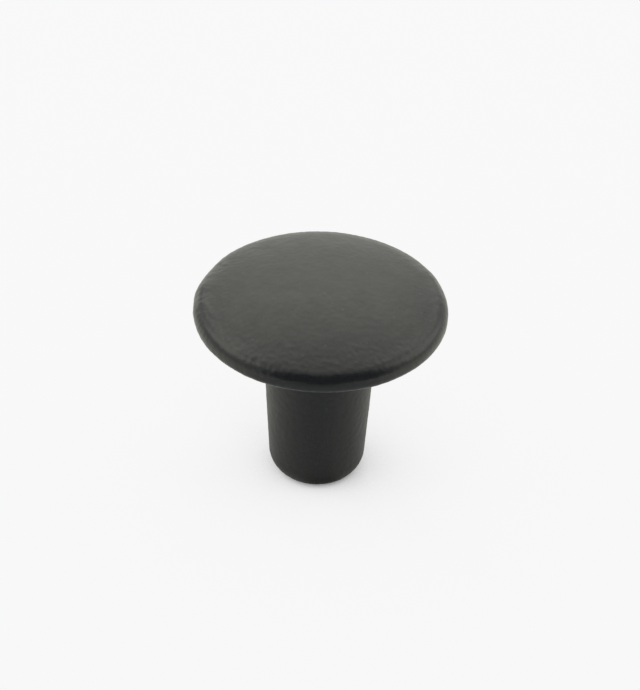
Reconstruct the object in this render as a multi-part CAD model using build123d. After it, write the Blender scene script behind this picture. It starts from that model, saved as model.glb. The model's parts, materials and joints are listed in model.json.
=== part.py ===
"""A mushroom cabinet knob, cast in one piece: a shallow domed head on a short tapered stem.

Millimetres. The stem stands on z = 0, which is the face that meets the drawer front, with +Z
pointing out of the drawer along the knob's axis. The origin is the centre of that face.
"""

from build123d import *
from math import cos, radians, sin, sqrt, tan
import os

# Head
head_diameter = 32.0
projection = 30.0            # from the drawer front to the top of the crown
crown_radius = 44.0          # the shallow dome is part of a sphere
shoulder_radius = 1.7        # round between the crown and the upright edge
edge_land = 0.2              # what is left upright between the two rounds of the edge
lip_radius = 1.0             # round under the edge, where the fingertips pull
underside_angle = 5.0        # degrees by which the underside falls towards the stem

# Stem
stem_neck_diameter = 14.8    # where the stem's taper meets the underside
stem_base_diameter = 12.4    # where the stem's taper meets the drawer front
neck_fillet = 2.5
base_edge_radius = 3.3

# Blind hole for an M4 machine screw, at the size of its tapping drill
tap_drill_diameter = 3.3
drill_depth = 15.0           # full-diameter depth, without the drill's point
drill_point_angle = 118.0
mouth_chamfer = 0.6          # lead-in for the screw


def knob_section():
    """Half of the knob's section, on the +X side of its axis, before the hole is drilled."""
    head_radius = head_diameter / 2
    neck_radius = stem_neck_diameter / 2
    base_radius = stem_base_diameter / 2

    # The shoulder touches the crown's sphere from inside, so the two centres and radii fix its height
    crown_center_z = projection - crown_radius
    shoulder_x = head_radius - shoulder_radius
    shoulder_rise = sqrt((crown_radius - shoulder_radius) ** 2 - shoulder_x**2)
    shoulder_z = crown_center_z + shoulder_rise
    reach = crown_radius / (crown_radius - shoulder_radius)
    crown_end = (shoulder_x * reach, crown_center_z + shoulder_rise * reach)

    # The lip turns inwards until it runs along the underside
    fall = radians(underside_angle)
    lip_center = (head_radius - lip_radius, shoulder_z - edge_land)
    lip_end = (lip_center[0] + lip_radius * sin(fall), lip_center[1] - lip_radius * cos(fall))
    neck = (neck_radius, lip_end[1] - (lip_end[0] - neck_radius) * tan(fall))
    base_corner = (base_radius, 0)

    with BuildSketch(Plane.XZ) as section:
        with BuildLine():
            crown = TangentArc((0, projection), crown_end, tangent=(1, 0))
            shoulder = TangentArc(crown_end, (head_radius, shoulder_z), tangent=crown % 1)
            land = Line(shoulder @ 1, (head_radius, lip_center[1]))
            TangentArc(land @ 1, lip_end, tangent=land % 1)
            Polyline(lip_end, neck, base_corner, (0, 0), (0, projection))
        make_face()
        fillet(section.vertices().sort_by_distance(neck)[0], neck_fillet)
        fillet(section.vertices().sort_by_distance(base_corner)[0], base_edge_radius)
    return section.sketch


def make_knob():
    """The turned form, with the screw hole drilled up its axis from the base."""
    drill_radius = tap_drill_diameter / 2
    point_height = drill_radius / tan(radians(drill_point_angle / 2))
    upward = (Align.CENTER, Align.CENTER, Align.MIN)

    with BuildPart() as knob:
        revolve(knob_section(), axis=Axis.Z)
        Cylinder(drill_radius, drill_depth, align=upward, mode=Mode.SUBTRACT)
        with Locations((0, 0, drill_depth)):
            Cone(drill_radius, 0, point_height, align=upward, mode=Mode.SUBTRACT)
        base = knob.faces().sort_by(Axis.Z)[0]
        chamfer(base.inner_wires()[0].edges(), mouth_chamfer)
    return knob.part


os.makedirs("parts", exist_ok=True)
export_step(make_knob(), "parts/knob.step")
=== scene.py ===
"""A mushroom cabinet knob of black-coated cast iron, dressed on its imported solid, on a pale table."""

import json
import math

import bmesh
import bpy
import numpy as np
from mathutils import Matrix, Vector, noise


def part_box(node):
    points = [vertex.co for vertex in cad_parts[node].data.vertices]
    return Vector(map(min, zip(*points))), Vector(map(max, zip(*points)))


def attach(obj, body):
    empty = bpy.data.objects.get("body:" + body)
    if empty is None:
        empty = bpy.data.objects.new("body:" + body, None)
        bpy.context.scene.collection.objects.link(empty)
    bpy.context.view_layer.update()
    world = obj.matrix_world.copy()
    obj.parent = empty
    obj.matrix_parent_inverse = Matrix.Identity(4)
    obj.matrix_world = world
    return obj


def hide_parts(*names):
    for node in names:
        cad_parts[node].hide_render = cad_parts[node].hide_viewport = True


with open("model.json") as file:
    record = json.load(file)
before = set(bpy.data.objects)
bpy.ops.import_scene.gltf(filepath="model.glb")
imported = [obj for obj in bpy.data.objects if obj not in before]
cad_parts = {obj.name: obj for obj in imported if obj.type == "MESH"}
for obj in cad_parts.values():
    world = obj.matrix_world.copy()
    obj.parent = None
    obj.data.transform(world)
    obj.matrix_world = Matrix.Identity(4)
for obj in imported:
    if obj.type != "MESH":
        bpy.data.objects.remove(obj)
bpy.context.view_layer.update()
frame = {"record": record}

MM = 0.001

# Sizes of the knob's section, as in the solid that it stands for
lowest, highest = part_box("knob")
HEAD_RADIUS = (highest.x - lowest.x) / 2
PROJECTION = highest.z - lowest.z
CROWN_RADIUS = 44 * MM
SHOULDER_RADIUS = 1.7 * MM
EDGE_LAND = 0.2 * MM
LIP_RADIUS = 1.0 * MM
UNDERSIDE_FALL = math.radians(5)
NECK_RADIUS = 7.4 * MM
BASE_RADIUS = 6.2 * MM
NECK_FILLET = 2.5 * MM
BASE_EDGE_RADIUS = 3.3 * MM

# The tapped hole: its plain wall is a mount of the record, and an M4 thread is cut outwards from it
screw_hole = next(m for m in frame["record"]["mounts"] if m["name"] == "screw_hole")
HOLE_RADIUS = screw_hole["dims"]["r_mm"] * MM
MOUTH_CHAMFER = 0.6 * MM
HOLE_DEPTH = screw_hole["dims"]["length_mm"] * MM + MOUTH_CHAMFER
DRILL_POINT_HALF_ANGLE = math.radians(59)
THREAD_PITCH = 0.7 * MM
THREAD_DEPTH = 0.35 * MM
THREAD_LENGTH = 12 * MM
THREAD_RUN_OUT = 1.2 * MM
THREAD_COLUMNS = 64
THREAD_ROWS_A_TURN = 14

# Shares of half a pitch that the thread's crest and its flank take up. Its root has the rest
CREST_SHARE = 0.25
FLANK_SHARE = 0.62

# Spacing of the mesh on the cast skin, fine enough to hold the casting's small lumps
SKIN_STEP = 0.2 * MM
MOST_COLUMNS = 512
FEWEST_COLUMNS = 8

# Corners closer than this are one corner, and an edge sharper than this shows as an edge
SAME_CORNER = 0.001 * MM
SHARP_EDGE = math.radians(35)

# The casting's unevenness, as waves of one width each: how far they stand proud on the crown, on the
# head's edge, which is more uneven, and on the stem
UNEVENNESS = {
    "broad_waves": (4.0 * MM, 0.024 * MM, 0.034 * MM, 0.014 * MM),
    "lumps": (0.7 * MM, 0.019 * MM, 0.022 * MM, 0.022 * MM),
    "grain": (0.4 * MM, 0.015 * MM, 0.024 * MM, 0.012 * MM),
}
EDGE_STARTS = 12.0 * MM
EDGE_FULL = 15.0 * MM
STEM_ENDS = 20.0 * MM
HEAD_BEGINS = 25.0 * MM
FOOT_HEIGHT = 1.0 * MM
LEFT_EDGE_ROUGHER = 0.2

# Marks on the head's edge: the direction of each from the axis, its half width and how far it is proud
RIM_MARKS = {
    "flat_spot": (math.radians(156), math.radians(13), -0.08 * MM),
    "corner": (math.radians(173), math.radians(8), 0.08 * MM),
    "left_swell": (math.radians(189), math.radians(12), 0.07 * MM),
    "right_swell": (math.radians(25), math.radians(10), 0.06 * MM),
}

# The coat's tone varies in fine mottles, and its roughness in wider patches. Orange peel covers it all
MOTTLE_SIZE = 0.45 * MM
PATCH_SIZE = 2.0 * MM
COAT_ROUGHNESS = (0.40, 0.52)
PEEL_SIZE = 0.25 * MM
PEEL_HEIGHT = 0.01 * MM

# The coat is shinier where hands have rubbed the head's edge: distances from the axis, and by how much
RUBBED_STARTS = 13.2 * MM
RUBBED_FULL = 15.2 * MM
RUBBED_SMOOTHER = 0.14

# Specks of dust lie at this spacing through the whole body, and the few that the skin cuts through show.
# A speck's core is the share of its radius that is palest
SPECK_SPACING = 2.0 * MM
SPECK_RADIUS = 0.22 * MM
SPECK_CORE = 0.2

# Grain that the drill and the tap leave in the bare iron
TOOL_GRAIN = 0.3 * MM

# Nearly all of a noise's values lie between these two
NOISE_LOW, NOISE_HIGH = 0.3, 0.7

# The photograph's camera: its place, the way it leans, and its focal length in pixels of the picture
PICTURE_HEIGHT = 690
FOCAL_PIXELS = 1722.9
SENSOR_LONG_SIDE = 36.0
CAMERA_AIM = Vector((0.025 * MM, 0, 12 * MM))
CAMERA_DISTANCE = 225 * MM
CAMERA_ELEVATION = math.radians(39.055)
CAMERA_PITCH = math.radians(1.615)
CAMERA_ROLL = math.radians(1.753)

# The light: a white tent with lamps at its left, back and right, open at the front to a dim room.
# Each lamp: azimuth from the front, elevation, width, height and brightness, where 1 shows as white
LAMP_DISTANCE = 0.35
LAMPS = {
    "left_lamp": (math.radians(-97), math.radians(44), 0.29, 0.23, 1.22),
    "back_lamp": (math.radians(181), math.radians(49), 0.34, 0.27, 1.5),
    "right_lamp": (math.radians(103), math.radians(36), 0.29, 0.26, 0.95),
    "backdrop_lamp": (math.radians(187), math.radians(7), 0.62, 0.12, 0.84),
}
TENT_BRIGHTNESS = 0.74
OPENING_TURN = math.radians(8)
OPENING_HALF_WIDTH = 0.38
OPENING_HEIGHT = 0.78
OPENING_DISTANCE = 0.28

# The table's painted shadow, worked out from how much of the sky the knob hides, is lifted, as on a
# retouched white ground, and dies away quickly from the contact. Each light: the way to it from the
# table, and how deep a painted shadow it leaves on the knob's far side
TABLE_HALF = 1.5
GROUND_SEEN = 0.975
SHADOW_FALL_OFF = 3.9
SHADOW_REACH = 120 * MM
SHADOW_SAMPLES = 8
CASTERS_WITHIN = 200 * MM
SHADOW_LIGHTS = {
    "from_left": (Vector((-0.50, -0.12, 1)).normalized(), 1.34),
    "from_right": (Vector((0.45, -0.12, 1)).normalized(), 0.97),
}

# The coat mirrors a white table with painted shade: its paint is darker in front of the knob, toward the
# tent's open side, and a painted shadow darkens it at the contact, where its shadow isn't lifted. Each
# patch: its middle, half width and half length.
# Each fade: where it starts and ends, as a share of the way from the patch's middle to its edge
DIM_PATCH = (Vector((0, -110 * MM, 0)), 60 * MM, 100 * MM)
DIM_FADE = (0.75, 1.5)
DEEPEST_FADE = (0.15, 0.6)
CONTACT_PATCH = (Vector((1 * MM, -6 * MM, 0)), 5 * MM, 4 * MM)
CONTACT_FADE = (0.4, 1.0)
CONTACT_DEPTH = 0.55

# Numbers of a colour Mix node's sockets, which share their names with its other kinds
COLOR_A, COLOR_B, COLOR_RESULT = 6, 7, 2


def linear(code):
    """A colour written as an sRGB hex code, as the linear RGBA that shaders take."""
    shares = [int(code[i:i + 2], 16) / 255 for i in (1, 3, 5)]
    return [s / 12.92 if s <= 0.04045 else ((s + 0.055) / 1.055) ** 2.4 for s in shares] + [1.0]


def add(tree, kind, inputs=None, **settings):
    """Adds a node to a tree. Each input, by name or number, is given a value or another node's output,
    and the settings are the node's own."""
    made = tree.nodes.new(kind)
    for name, value in settings.items():
        setattr(made, name, value)
    for key, value in (inputs or {}).items():
        if isinstance(value, bpy.types.NodeSocket):
            tree.links.new(value, made.inputs[key])
        else:
            made.inputs[key].default_value = value
    return made


def lumps_of(size):
    """The noise scale that gives lumps of a real size, on coordinates in metres."""
    return 1 / size


def put(name, data):
    """A new object in the scene, made of the given mesh, lamp or camera."""
    made = bpy.data.objects.new(name, data)
    bpy.context.scene.collection.objects.link(made)
    return made


# The section, from the middle of the crown round to the mouth of the hole


def arc(centre, radius, first, last):
    """Points round an arc in the section's plane, with angles in radians from the +X side."""
    count = max(3, math.ceil(abs(last - first) * radius / SKIN_STEP))
    angles = np.linspace(first, last, count + 1)
    return np.column_stack([centre[0] + radius * np.cos(angles), centre[1] + radius * np.sin(angles)])


def straight(first, last):
    """Points along a straight stretch of the section."""
    first, last = np.array(first), np.array(last)
    count = max(1, math.ceil(np.linalg.norm(last - first) / SKIN_STEP))
    return first + (last - first) * np.linspace(0, 1, count + 1)[:, None]


def skin_section():
    """The coated outside of the knob as points (radius, height), crown first."""
    level = math.pi / 2
    crown_centre = (0, PROJECTION - CROWN_RADIUS)
    shoulder_x = HEAD_RADIUS - SHOULDER_RADIUS
    shoulder_rise = math.sqrt((CROWN_RADIUS - SHOULDER_RADIUS) ** 2 - shoulder_x**2)
    shoulder = (shoulder_x, crown_centre[1] + shoulder_rise)
    crown_ends = math.atan2(shoulder_rise, shoulder_x)

    lip = (HEAD_RADIUS - LIP_RADIUS, shoulder[1] - EDGE_LAND)
    lip_ends = UNDERSIDE_FALL - level
    underside_x = lip[0] + LIP_RADIUS * math.sin(UNDERSIDE_FALL)
    underside_z = lip[1] - LIP_RADIUS * math.cos(UNDERSIDE_FALL)
    fall = (underside_x - NECK_RADIUS) * math.tan(UNDERSIDE_FALL)
    neck_corner = np.array([NECK_RADIUS, underside_z - fall])

    # Rounds between the stem's taper and its two neighbours
    lean = math.atan2(NECK_RADIUS - BASE_RADIUS, neck_corner[1])
    up_stem = np.array([math.sin(lean), math.cos(lean)])
    out_of_stem = np.array([math.cos(lean), -math.sin(lean)])
    neck_run = NECK_FILLET / math.tan((level + lean + UNDERSIDE_FALL) / 2)
    neck = neck_corner - up_stem * neck_run + out_of_stem * NECK_FILLET
    base_run = BASE_EDGE_RADIUS / math.tan((level + lean) / 2)
    base = np.array([BASE_RADIUS, 0]) + up_stem * base_run - out_of_stem * BASE_EDGE_RADIUS

    rounds = [
        arc(crown_centre, CROWN_RADIUS, level, crown_ends),
        arc(shoulder, SHOULDER_RADIUS, crown_ends, 0),
        arc(lip, LIP_RADIUS, 0, lip_ends),
        arc(neck, NECK_FILLET, lip_ends + math.pi, math.pi - lean),
        arc(base, BASE_EDGE_RADIUS, -lean, -level),
        np.array([(HOLE_RADIUS + MOUTH_CHAMFER, 0)]),
    ]
    points = [rounds[0]]
    for before, after in zip(rounds, rounds[1:]):
        points.append(straight(before[-1], after[0])[1:])
        points.append(after[1:])
    return np.vstack(points)


# The cast skin


def columns_at(radius):
    """How many columns a ring of that radius has: a power of two, so that neighbours can be joined."""
    wanted = 2 ** round(math.log2(max(2 * math.pi * radius / SKIN_STEP, 1)))
    return min(max(wanted, FEWEST_COLUMNS), MOST_COLUMNS)


def ring_faces(inner, outer):
    """Faces between two rings of vertex numbers, where one may have twice as many as the other."""
    faces = []
    if len(inner) == len(outer):
        for k in range(len(inner)):
            after = (k + 1) % len(inner)
            faces.append((inner[k], outer[k], outer[after], inner[after]))
    elif len(inner) < len(outer):
        for k in range(len(inner)):
            after = (k + 1) % len(inner)
            middle, last = 2 * k + 1, (2 * k + 2) % len(outer)
            faces.append((inner[k], outer[2 * k], outer[middle]))
            faces.append((inner[k], outer[middle], inner[after]))
            faces.append((inner[after], outer[middle], outer[last]))
    else:
        for k in range(len(outer)):
            after = (k + 1) % len(outer)
            middle, last = 2 * k + 1, (2 * k + 2) % len(inner)
            faces.append((inner[2 * k], outer[k], inner[middle]))
            faces.append((inner[middle], outer[k], outer[after]))
            faces.append((inner[middle], outer[after], inner[last]))
    return faces


def ease(value, first, last):
    """How far a value has come from first to last, from 0 to 1 with soft ends."""
    share = min(max((value - first) / (last - first), 0), 1)
    return share * share * (3 - 2 * share)


def casting_relief(place):
    """How far the cast skin stands proud of the true form at a place. The crown is smooth with fine
    lumps from the sand, and the head's edge, dressed by hand before it was coated, is more uneven."""
    edge = ease(math.hypot(place.x, place.y), EDGE_STARTS, EDGE_FULL)
    side = 1 - LEFT_EDGE_ROUGHER * place.x / HEAD_RADIUS
    head = ease(place.z, STEM_ENDS, HEAD_BEGINS)
    proud = 0
    for width, on_crown, at_edge, on_stem in UNEVENNESS.values():
        on_head = on_crown + (at_edge * side - on_crown) * edge
        proud += noise.noise(place / width) * (on_stem + (on_head - on_stem) * head)
    direction = math.atan2(place.y, place.x) % (2 * math.pi)
    for middle, half_width, height in RIM_MARKS.values():
        nearness = 1 - ease(abs(direction - middle), 0, half_width)
        proud += height * nearness * edge
    return proud * ease(place.z, 0, FOOT_HEIGHT)


def turned_skin():
    """Vertices and faces of the cast skin: the section turned about the axis, with its relief."""
    section = skin_section()
    tangents = np.gradient(section, axis=0)
    tangents /= np.linalg.norm(tangents, axis=1)[:, None]
    outward = np.column_stack([-tangents[:, 1], tangents[:, 0]])
    vertices, faces, previous = [], [], None
    for (radius, height), (out, up) in zip(section, outward):
        if radius < SKIN_STEP / 2:
            vertices.append(Vector((0, 0, height)))
            previous = [0]
            continue
        count = columns_at(radius)
        ring = range(len(vertices), len(vertices) + count)
        for k in range(count):
            angle = 2 * math.pi * k / count
            around = Vector((math.cos(angle), math.sin(angle), 0))
            place = around * radius + Vector((0, 0, height))
            proud = casting_relief(place)
            vertices.append(place + (around * out + Vector((0, 0, up))) * proud)
        if len(previous) == 1:
            faces += [(0, ring[k], ring[(k + 1) % count]) for k in range(count)]
        else:
            faces += ring_faces(previous, ring)
        previous = ring
    return vertices, faces


# The tapped hole


def thread_radius(turns, height):
    """Radius of the hole's wall, where turns counts thread pitches along the helix."""
    phase = abs((turns % 1) - 0.5) * 2
    groove = min(max((phase - CREST_SHARE) / FLANK_SHARE, 0), 1)
    run_out = min(max((THREAD_LENGTH - height) / THREAD_RUN_OUT, 0), 1)
    threaded = HOLE_RADIUS + THREAD_DEPTH * groove * run_out
    return max(threaded, HOLE_RADIUS + MOUTH_CHAMFER - height)


def on_wall(radius, column, height):
    """The place of one column of the hole's wall, at a radius and a height."""
    angle = 2 * math.pi * column / THREAD_COLUMNS
    return Vector((radius * math.cos(angle), radius * math.sin(angle), height))


def tapped_hole():
    """Vertices and faces of the hole: a strip wound up the thread's helix, then the drilled end."""
    vertices, faces = [], []
    rows = math.ceil(THREAD_LENGTH / THREAD_PITCH * THREAD_ROWS_A_TURN)
    first_row = -THREAD_ROWS_A_TURN
    for row in range(first_row, rows + 1):
        for k in range(THREAD_COLUMNS + 1):
            turns = row / THREAD_ROWS_A_TURN + k / THREAD_COLUMNS
            height = min(max(turns * THREAD_PITCH, 0), THREAD_LENGTH)
            radius = thread_radius(row / THREAD_ROWS_A_TURN, height)
            vertices.append(on_wall(radius, k, height))
    width = THREAD_COLUMNS + 1
    for row in range(rows - first_row):
        for k in range(THREAD_COLUMNS):
            start = row * width + k
            faces.append((start, start + width, start + width + 1, start + 1))

    rings = []
    for height in (THREAD_LENGTH, HOLE_DEPTH):
        rings.append(range(len(vertices), len(vertices) + THREAD_COLUMNS))
        vertices += [on_wall(HOLE_RADIUS, k, height) for k in range(THREAD_COLUMNS)]
    faces += ring_faces(*rings)
    end = rings[1]
    tip = len(vertices)
    vertices.append(Vector((0, 0, HOLE_DEPTH + HOLE_RADIUS / math.tan(DRILL_POINT_HALF_ANGLE))))
    faces += [(end[k], tip, end[(k + 1) % THREAD_COLUMNS]) for k in range(THREAD_COLUMNS)]
    return vertices, faces


def make_knob(coat, bare_iron):
    """The whole knob as one mesh: the coated skin, and the hole in bare iron."""
    skin_vertices, skin_faces = turned_skin()
    hole_vertices, hole_faces = tapped_hole()
    shift = len(skin_vertices)
    faces = skin_faces + [tuple(v + shift for v in face) for face in hole_faces]
    mesh = bpy.data.meshes.new("cast_knob")
    mesh.from_pydata(skin_vertices + hole_vertices, [], faces)
    mesh.materials.append(coat)
    mesh.materials.append(bare_iron)
    finish = [0] * len(skin_faces) + [1] * len(hole_faces)
    mesh.polygons.foreach_set("material_index", finish)

    # The strip's clamped ends and its seam close up where their corners meet
    joined = bmesh.new()
    joined.from_mesh(mesh)
    bmesh.ops.remove_doubles(joined, verts=joined.verts, dist=SAME_CORNER)
    bmesh.ops.dissolve_degenerate(joined, edges=joined.edges, dist=SAME_CORNER)
    joined.to_mesh(mesh)
    joined.free()

    mesh.shade_smooth()
    mesh.set_sharp_from_angle(angle=SHARP_EDGE)
    knob = put("cast_knob", mesh)
    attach(knob, "root")
    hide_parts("knob")


# Finishes


def material(name):
    """A new material, and its empty tree."""
    made = bpy.data.materials.new(name)
    made.use_nodes = True
    made.node_tree.nodes.clear()
    return made, made.node_tree


def black_coat():
    """Black stove paint on a sand casting: a satin skin that follows the casting's lumps, so its soft
    shine breaks up a little. Its tone is finely uneven, and a few pale specks of dust have set in it."""
    made, tree = material("black_stove_paint_on_cast_iron")
    place = add(tree, "ShaderNodeTexCoord").outputs["Object"]
    mottle = add(
        tree,
        "ShaderNodeTexNoise",
        {"Vector": place, "Scale": lumps_of(MOTTLE_SIZE), "Detail": 2.0},
    )
    uneven = add(
        tree,
        "ShaderNodeMapRange",
        {"Value": mottle.outputs["Fac"], "From Min": NOISE_LOW, "From Max": NOISE_HIGH},
    )
    shade = add(
        tree,
        "ShaderNodeMix",
        {"Factor": uneven.outputs["Result"], COLOR_A: linear("#040506"), COLOR_B: linear("#101213")},
        data_type="RGBA",
    )
    dust = add(tree, "ShaderNodeTexVoronoi", {"Vector": place, "Scale": lumps_of(SPECK_SPACING)})
    speck = add(
        tree,
        "ShaderNodeMapRange",
        {
            "Value": dust.outputs["Distance"],
            "From Min": SPECK_CORE * SPECK_RADIUS / SPECK_SPACING,
            "From Max": SPECK_RADIUS / SPECK_SPACING,
            "To Min": 1.0,
            "To Max": 0.0,
        },
    )
    speckled = add(
        tree,
        "ShaderNodeMix",
        {
            "Factor": speck.outputs["Result"],
            COLOR_A: shade.outputs[COLOR_RESULT],
            COLOR_B: linear("#2e2d2a"),
        },
        data_type="RGBA",
    )
    patches = add(
        tree,
        "ShaderNodeTexNoise",
        {"Vector": place, "Scale": lumps_of(PATCH_SIZE), "Detail": 3.0},
    )
    worn = add(
        tree,
        "ShaderNodeMapRange",
        {"Value": patches.outputs["Fac"], "To Min": COAT_ROUGHNESS[0], "To Max": COAT_ROUGHNESS[1]},
    )
    across = add(tree, "ShaderNodeVectorMath", {0: place, 1: (1, 1, 0)}, operation="MULTIPLY")
    from_axis = add(tree, "ShaderNodeVectorMath", {0: across.outputs["Vector"]}, operation="LENGTH")
    rubbed = add(
        tree,
        "ShaderNodeMapRange",
        {
            "Value": from_axis.outputs["Value"],
            "From Min": RUBBED_STARTS,
            "From Max": RUBBED_FULL,
            "To Max": -RUBBED_SMOOTHER,
        },
        interpolation_type="SMOOTHSTEP",
    )
    roughness = add(
        tree,
        "ShaderNodeMath",
        {0: worn.outputs["Result"], 1: rubbed.outputs["Result"]},
        operation="ADD",
    )
    peel = add(
        tree,
        "ShaderNodeTexNoise",
        {"Vector": place, "Scale": lumps_of(PEEL_SIZE), "Detail": 2.0},
    )
    bump = add(
        tree,
        "ShaderNodeBump",
        {"Height": peel.outputs["Fac"], "Strength": 0.4, "Distance": PEEL_HEIGHT},
    )
    coat = add(
        tree,
        "ShaderNodeBsdfPrincipled",
        {
            "Base Color": speckled.outputs[COLOR_RESULT],
            "Roughness": roughness.outputs[0],
            "Normal": bump.outputs["Normal"],
            "IOR": 1.56,
        },
    )
    add(tree, "ShaderNodeOutputMaterial", {"Surface": coat.outputs["BSDF"]})
    return made


def cut_iron():
    """Iron cut by a drill and a tap, after the knob was coated: grey bare metal with a dull shine."""
    made, tree = material("tapped_bare_iron")
    place = add(tree, "ShaderNodeTexCoord").outputs["Object"]
    grain = add(
        tree,
        "ShaderNodeTexNoise",
        {"Vector": place, "Scale": lumps_of(TOOL_GRAIN), "Detail": 3.0},
    )
    tone = add(
        tree,
        "ShaderNodeMix",
        {"Factor": grain.outputs["Fac"], COLOR_A: linear("#6e6a66"), COLOR_B: linear("#8f8b86")},
        data_type="RGBA",
    )
    metal = add(
        tree,
        "ShaderNodeBsdfPrincipled",
        {"Base Color": tone.outputs[COLOR_RESULT], "Metallic": 1.0, "Roughness": 0.38},
    )
    add(tree, "ShaderNodeOutputMaterial", {"Surface": metal.outputs["BSDF"]})
    return made


# The table, the light and the camera


def from_patch(tree, place, middle, half_width, half_length):
    """How far a place on the table lies from the middle of an oval patch, where 1 is its edge."""
    over_patch = add(
        tree,
        "ShaderNodeMapping",
        {"Vector": place, "Location": middle, "Scale": (half_width, half_length, 1)},
        vector_type="TEXTURE",
    )
    away = add(tree, "ShaderNodeVectorMath", {0: over_patch.outputs["Vector"]}, operation="LENGTH")
    return away.outputs["Value"]


def table_shadow(tree, place, camera_ray):
    """How deep the painted shadow is at a place on the table, worked out from how much of the sky the
    knob hides.
    Each light leaves a lobe of it on the knob's far side, and rays that come by way of the coat also
    meet a painted dark contact shadow in front of the foot."""
    cast = 0.0
    for toward, depth in SHADOW_LIGHTS.values():
        toward_light = add(
            tree,
            "ShaderNodeCombineXYZ",
            {"X": toward.x, "Y": toward.y, "Z": toward.z},
        )
        open_sky = add(
            tree,
            "ShaderNodeAmbientOcclusion",
            {"Distance": CASTERS_WITHIN, "Normal": toward_light.outputs["Vector"]},
            samples=SHADOW_SAMPLES,
        )
        hidden = add(tree, "ShaderNodeMath", {0: 1.0, 1: open_sky.outputs["AO"]}, operation="SUBTRACT")
        lobe = add(tree, "ShaderNodeMath", {0: hidden.outputs[0], 1: SHADOW_FALL_OFF}, operation="POWER")
        lobes = add(
            tree,
            "ShaderNodeMath",
            {0: lobe.outputs[0], 1: depth, 2: cast},
            operation="MULTIPLY_ADD",
        )
        cast = lobes.outputs[0]
    from_knob = add(tree, "ShaderNodeVectorMath", {0: place}, operation="LENGTH")
    near_knob = add(
        tree,
        "ShaderNodeMapRange",
        {
            "Value": from_knob.outputs["Value"],
            "From Min": SHADOW_REACH / 2,
            "From Max": SHADOW_REACH,
            "To Min": 1.0,
            "To Max": 0.0,
        },
    )
    seen_shadow = add(
        tree,
        "ShaderNodeMath",
        {0: cast, 1: near_knob.outputs["Result"]},
        operation="MULTIPLY",
    )
    unseen_depth = add(
        tree,
        "ShaderNodeMath",
        {0: camera_ray, 1: -CONTACT_DEPTH, 2: CONTACT_DEPTH},
        operation="MULTIPLY_ADD",
    )
    contact = add(
        tree,
        "ShaderNodeMapRange",
        {
            "Value": from_patch(tree, place, *CONTACT_PATCH),
            "From Min": CONTACT_FADE[0],
            "From Max": CONTACT_FADE[1],
            "To Min": unseen_depth.outputs[0],
            "To Max": 0.0,
        },
    )
    shadow = add(
        tree,
        "ShaderNodeMath",
        {0: seen_shadow.outputs[0], 1: contact.outputs["Result"]},
        operation="MAXIMUM",
    )
    return shadow.outputs[0]


def table_top():
    """Matt white paint on a table that fills the picture: it shows as an even pale ground with the
    knob's shadow painted into it, and metal that mirrors it sees that ground too."""
    made, tree = material("white_table")
    ray = add(tree, "ShaderNodeLightPath").outputs
    place = add(tree, "ShaderNodeTexCoord").outputs["Object"]
    shadow = table_shadow(tree, place, ray["Is Camera Ray"])
    white = add(
        tree,
        "ShaderNodeMix",
        {"Factor": ray["Is Camera Ray"], COLOR_A: linear("#fcfbf0"), COLOR_B: linear("#f9f9f9")},
        data_type="RGBA",
    )
    # Painted shadow: the table's white goes toward black where the knob hides its sky
    white_with_painted_shadow = add(
        tree,
        "ShaderNodeMix",
        {"Factor": shadow, COLOR_A: white.outputs[COLOR_RESULT], COLOR_B: linear("#000000")},
        data_type="RGBA",
    )
    ground = add(tree, "ShaderNodeEmission", {"Color": white_with_painted_shadow.outputs[COLOR_RESULT], "Strength": 1.0})
    from_dim = from_patch(tree, place, *DIM_PATCH)
    # Painted shade: inside the dim patch the coat mirrors the darker paint rather than the white ground
    outside = add(
        tree,
        "ShaderNodeMapRange",
        {"Value": from_dim, "From Min": DIM_FADE[0], "From Max": DIM_FADE[1]},
        interpolation_type="SMOOTHSTEP",
    )
    # Painted shade: the table's paint is darker in an oval patch in front of the knob, so the coat
    # mirrors it dim
    shade_ends = add(
        tree,
        "ShaderNodeMapRange",
        {"Value": from_dim, "From Min": DEEPEST_FADE[0], "From Max": DEEPEST_FADE[1]},
        interpolation_type="SMOOTHSTEP",
    )
    paint_with_painted_shade = add(
        tree,
        "ShaderNodeMix",
        {
            "Factor": shade_ends.outputs["Result"],
            COLOR_A: linear("#9b9fa2"),
            COLOR_B: linear("#cccfd2"),
        },
        data_type="RGBA",
    )
    shaded_paint = add(
        tree,
        "ShaderNodeMix",
        {"Factor": shadow, COLOR_A: paint_with_painted_shade.outputs[COLOR_RESULT], COLOR_B: linear("#000000")},
        data_type="RGBA",
    )
    paint = add(tree, "ShaderNodeBsdfDiffuse", {"Color": shaded_paint.outputs[COLOR_RESULT]})
    mirrored = add(
        tree,
        "ShaderNodeMath",
        {0: ray["Is Glossy Ray"], 1: ray["Is Transmission Ray"]},
        operation="MAXIMUM",
    )
    mirrored_share = add(
        tree,
        "ShaderNodeMath",
        {0: mirrored.outputs[0], 1: outside.outputs["Result"]},
        operation="MULTIPLY",
    )
    share = add(
        tree,
        "ShaderNodeMath",
        {0: ray["Is Camera Ray"], 1: GROUND_SEEN, 2: mirrored_share.outputs[0]},
        operation="MULTIPLY_ADD",
    )
    both = add(
        tree,
        "ShaderNodeMixShader",
        {"Fac": share.outputs[0], 1: paint.outputs["BSDF"], 2: ground.outputs["Emission"]},
    )
    add(tree, "ShaderNodeOutputMaterial", {"Surface": both.outputs["Shader"]})
    return made


def flat_sheet(name, corners, finish):
    """A flat sheet with four corners and one finish."""
    mesh = bpy.data.meshes.new(name)
    mesh.from_pydata(corners, [], [(0, 1, 2, 3)])
    mesh.materials.append(finish)
    return put(name, mesh)


def set_table():
    """The table under the knob, which reaches past the edges of every view."""
    half = TABLE_HALF
    corners = [(-half, -half, 0), (half, -half, 0), (half, half, 0), (-half, half, 0)]
    table = flat_sheet("table", corners, table_top())


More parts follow.
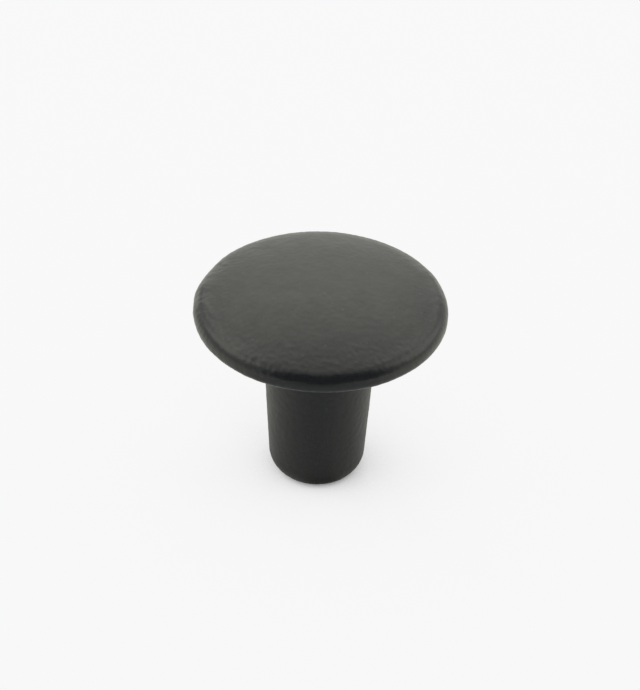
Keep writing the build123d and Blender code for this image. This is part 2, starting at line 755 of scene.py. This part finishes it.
def set_tent():
    """An even white tent, with a dark card over its open side that the front of the knob reflects."""
    world = bpy.data.worlds.new("tent")
    bpy.context.scene.world = world
    world.use_nodes = True
    sky = world.node_tree.nodes["Background"]
    sky.inputs["Color"].default_value = linear("#f8f8f8")
    sky.inputs["Strength"].default_value = TENT_BRIGHTNESS

    card_paint, tree = material("grey_card")
    matt = add(tree, "ShaderNodeBsdfDiffuse", {"Color": linear("#7c828a")})
    add(tree, "ShaderNodeOutputMaterial", {"Surface": matt.outputs["BSDF"]})
    half = OPENING_HALF_WIDTH
    outline = [(-half, 0), (half, 0), (half, OPENING_HEIGHT), (-half, OPENING_HEIGHT)]
    card = flat_sheet("dark_card", [(x, -OPENING_DISTANCE, z) for x, z in outline], card_paint)
    card.matrix_world = Matrix.Rotation(OPENING_TURN, 4, "Z")
    card.visible_camera = False


def set_lamps():
    """Flat white lamps in the tent, each turned to the knob and out of the camera's sight."""
    for name, (azimuth, elevation, width, height, brightness) in LAMPS.items():
        lamp = bpy.data.lights.new(name, "AREA")
        lamp.shape = "RECTANGLE"
        lamp.size = width
        lamp.size_y = height
        lamp.energy = brightness * math.pi * width * height
        lamp.color = linear("#feffee")[:3]
        panel = put(name, lamp)
        level = math.cos(elevation)
        toward = Vector((math.sin(azimuth) * level, -math.cos(azimuth) * level, math.sin(elevation)))
        facing = toward.to_track_quat("Z", "Y").to_matrix().to_4x4()
        panel.matrix_world = Matrix.Translation(toward * LAMP_DISTANCE) @ facing
        panel.visible_camera = False


def set_camera():
    """The photograph's camera, in front of the knob and looking down on it, a little tilted."""
    away = Vector((0, -math.cos(CAMERA_ELEVATION), math.sin(CAMERA_ELEVATION)))
    right = Vector((1, 0, 0))
    up = right.cross(-away)
    turn = Matrix((right, up, away)).transposed()
    turn = turn @ Matrix.Rotation(CAMERA_PITCH, 3, "X") @ Matrix.Rotation(CAMERA_ROLL, 3, "Z")
    data = bpy.data.cameras.new("camera")
    data.sensor_width = SENSOR_LONG_SIDE
    data.lens = FOCAL_PIXELS / PICTURE_HEIGHT * SENSOR_LONG_SIDE
    data.clip_start = 10 * MM
    camera = put("camera", data)
    camera.matrix_world = Matrix.Translation(CAMERA_AIM + away * CAMERA_DISTANCE) @ turn.to_4x4()
    bpy.context.scene.camera = camera


make_knob(black_coat(), cut_iron())
set_table()
set_tent()
set_lamps()
set_camera()
bpy.context.scene.view_settings.view_transform = "Standard"
